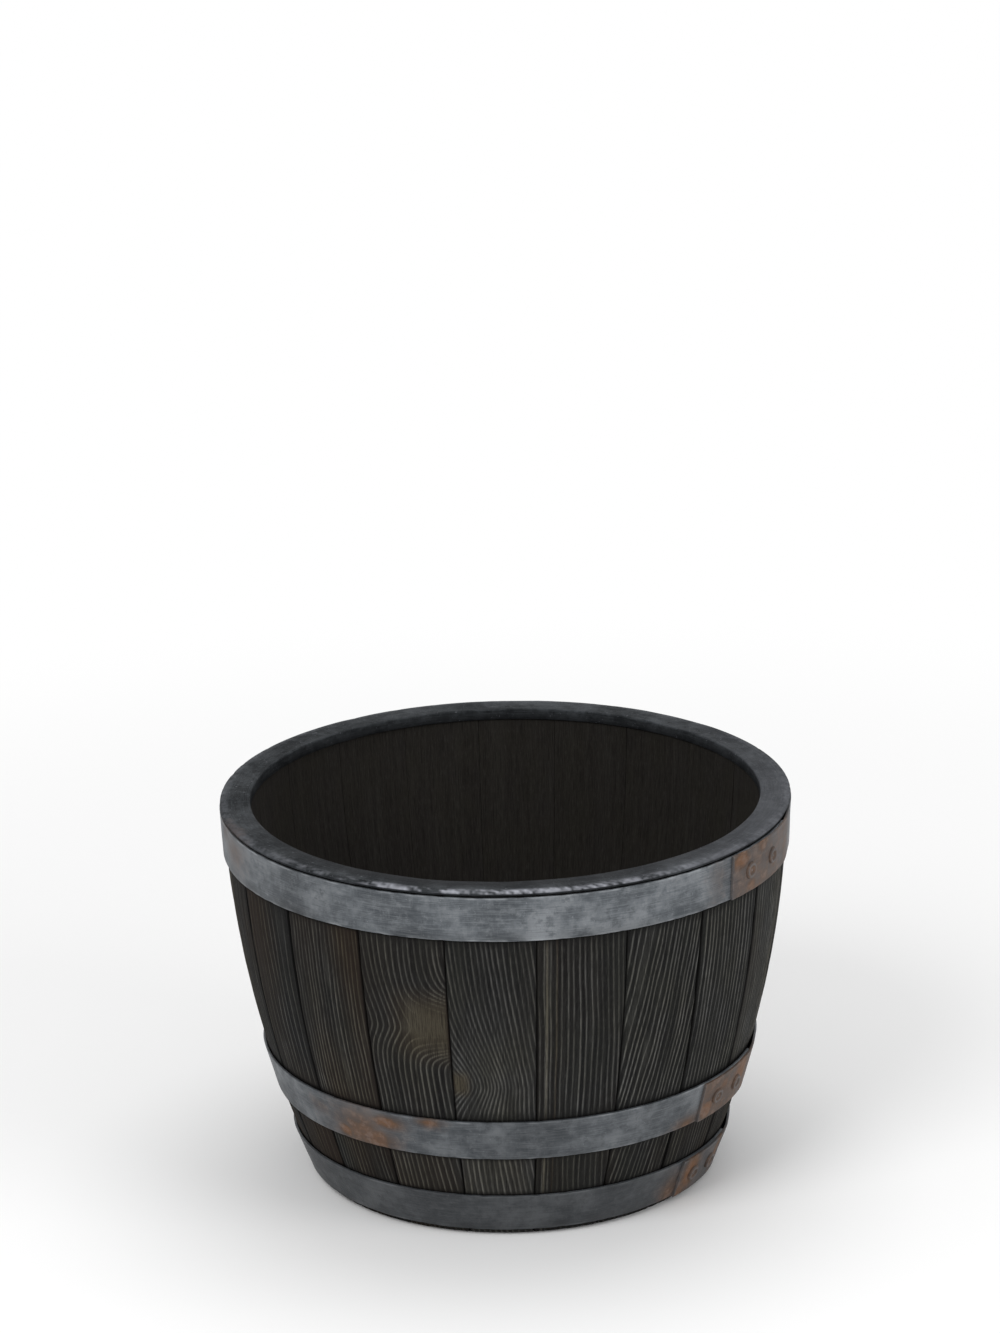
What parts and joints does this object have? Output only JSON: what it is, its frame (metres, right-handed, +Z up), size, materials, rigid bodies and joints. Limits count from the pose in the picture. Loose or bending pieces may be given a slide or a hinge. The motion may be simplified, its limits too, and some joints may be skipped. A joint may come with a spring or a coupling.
{
  "type": "half barrel planter",
  "caption": "Coopered half barrel planter: bowed oak staves in riveted steel hoops, a boarded head with drain holes and a steel rim ring over the stave ends.",
  "frame": {"origin": "centre of the base, on the floor under the stave feet", "axes": "+Z up along the barrel's axis; the front as pictured faces -Y, +X is to the right of it"},
  "size_m": [0.5009, 0.501, 0.3437],
  "materials": {
    "stave_wood": "wire-brushed, dark stained",
    "head_wood": "sawn, stained",
    "dowel_wood": "raw",
    "hoop_steel": "dull blue-grey, worn bright on the edges, rust at the lap and in patches",
    "rivet_steel": "dull, rusting",
    "rim_steel": "dark grey, worn bright along the outer edge"
  },
  "bodies": {
    "root": {"stave_01": "stave_wood", "stave_02": "stave_wood", "stave_03": "stave_wood", "stave_04": "stave_wood", "stave_05": "stave_wood", "stave_06": "stave_wood", "stave_07": "stave_wood", "stave_08": "stave_wood", "stave_09": "stave_wood", "stave_10": "stave_wood", "stave_11": "stave_wood", "stave_12": "stave_wood", "stave_13": "stave_wood", "stave_14": "stave_wood", "stave_15": "stave_wood", "stave_16": "stave_wood", "stave_17": "stave_wood", "stave_18": "stave_wood", "stave_19": "stave_wood", "stave_20": "stave_wood", "head_board_1": "head_wood", "head_board_2": "head_wood", "head_board_3": "head_wood", "head_board_4": "head_wood", "head_board_5": "head_wood", "head_dowels": "dowel_wood", "bottom_hoop": "hoop_steel", "middle_hoop": "hoop_steel", "top_hoop": "hoop_steel", "bottom_hoop_rivets": "rivet_steel", "middle_hoop_rivets": "rivet_steel", "top_hoop_rivets": "rivet_steel", "rim_ring": "rim_steel"}
  },
  "joints": []
}
